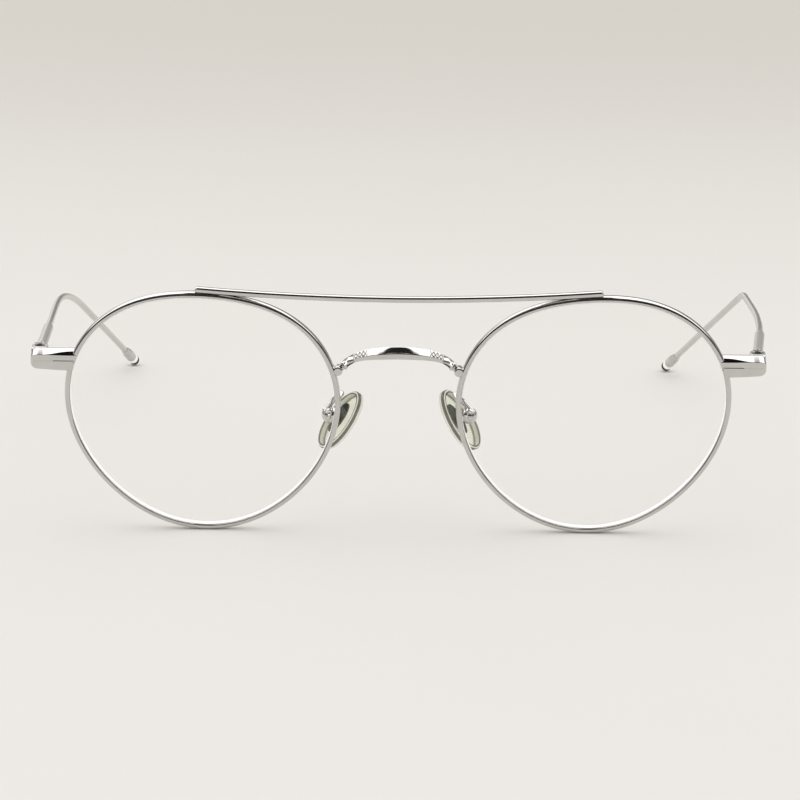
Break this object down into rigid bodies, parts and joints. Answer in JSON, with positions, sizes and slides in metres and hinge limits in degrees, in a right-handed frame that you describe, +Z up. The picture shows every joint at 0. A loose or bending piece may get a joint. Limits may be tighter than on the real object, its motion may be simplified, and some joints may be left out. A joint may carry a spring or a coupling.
{
  "type": "double bridge glasses",
  "caption": "Round metal eyeglasses with a brow bar above an arched nose bridge, wire temples that fold on screw hinges, and rocking nose pads.",
  "frame": {"origin": "middle of the footprint of the opened glasses, on the surface that rims and temple tips stand on", "axes": "+X to the right as seen from the front, +Y from the lenses back towards the ears, +Z up"},
  "size_m": [0.1402, 0.1492, 0.0465],
  "materials": {
    "polished_metal": "polished silver-coloured metal",
    "satin_metal": "finely brushed silver-coloured metal",
    "screw_metal": "turned steel",
    "lens": "clear",
    "nose_pad": "translucent",
    "tip_ring": "ivory",
    "tip_cap": "charcoal"
  },
  "bodies": {
    "front": {"rim_left": "polished_metal", "lens_left": "lens", "end_piece_left": "polished_metal", "closing_screw_left": "screw_metal", "hinge_leaf_left": "polished_metal", "hinge_screw_left": "screw_metal", "pad_arm_left": "polished_metal", "pad_box_left": "polished_metal", "pad_screw_left": "screw_metal", "rim_right": "polished_metal", "lens_right": "lens", "end_piece_right": "polished_metal", "closing_screw_right": "screw_metal", "hinge_leaf_right": "polished_metal", "hinge_screw_right": "screw_metal", "pad_arm_right": "polished_metal", "pad_box_right": "polished_metal", "pad_screw_right": "screw_metal", "brow_bar": "polished_metal", "nose_bridge": "polished_metal"},
    "temple_left": {"temple_leaf_left": "polished_metal", "temple_sleeve_left": "satin_metal", "temple_wire_left": "polished_metal", "tip_sleeve_left": "satin_metal", "tip_ring_left": "tip_ring", "tip_cap_left": "tip_cap"},
    "temple_right": {"temple_leaf_right": "polished_metal", "temple_sleeve_right": "satin_metal", "temple_wire_right": "polished_metal", "tip_sleeve_right": "satin_metal", "tip_ring_right": "tip_ring", "tip_cap_right": "tip_cap"},
    "pad_left": {"nose_pad_left": "nose_pad", "pad_insert_left": "screw_metal"},
    "pad_right": {"nose_pad_right": "nose_pad", "pad_insert_right": "screw_metal"}
  },
  "joints": [
    {"name": "temple_left_fold", "type": "hinge", "parent": "front", "child": "temple_left", "pos_m": [-0.06779, -0.06583, 0.0325], "axis": [0, -0.0726, -0.9974], "range_deg": [0, 85]},
    {"name": "temple_right_fold", "type": "hinge", "parent": "front", "child": "temple_right", "pos_m": [0.06523, -0.06583, 0.0325], "axis": [0, 0.0726, 0.9974], "range_deg": [0, 76]},
    {"name": "pad_left_rock", "type": "hinge", "parent": "front", "child": "pad_left", "pos_m": [-0.01447, -0.06503, 0.02123], "axis": [0.4193, -0.8447, -0.3326], "range_deg": [-8, 8]},
    {"name": "pad_right_rock", "type": "hinge", "parent": "front", "child": "pad_right", "pos_m": [0.01191, -0.06503, 0.02123], "axis": [-0.4193, -0.8447, -0.3326], "range_deg": [-8, 8]}
  ]
}
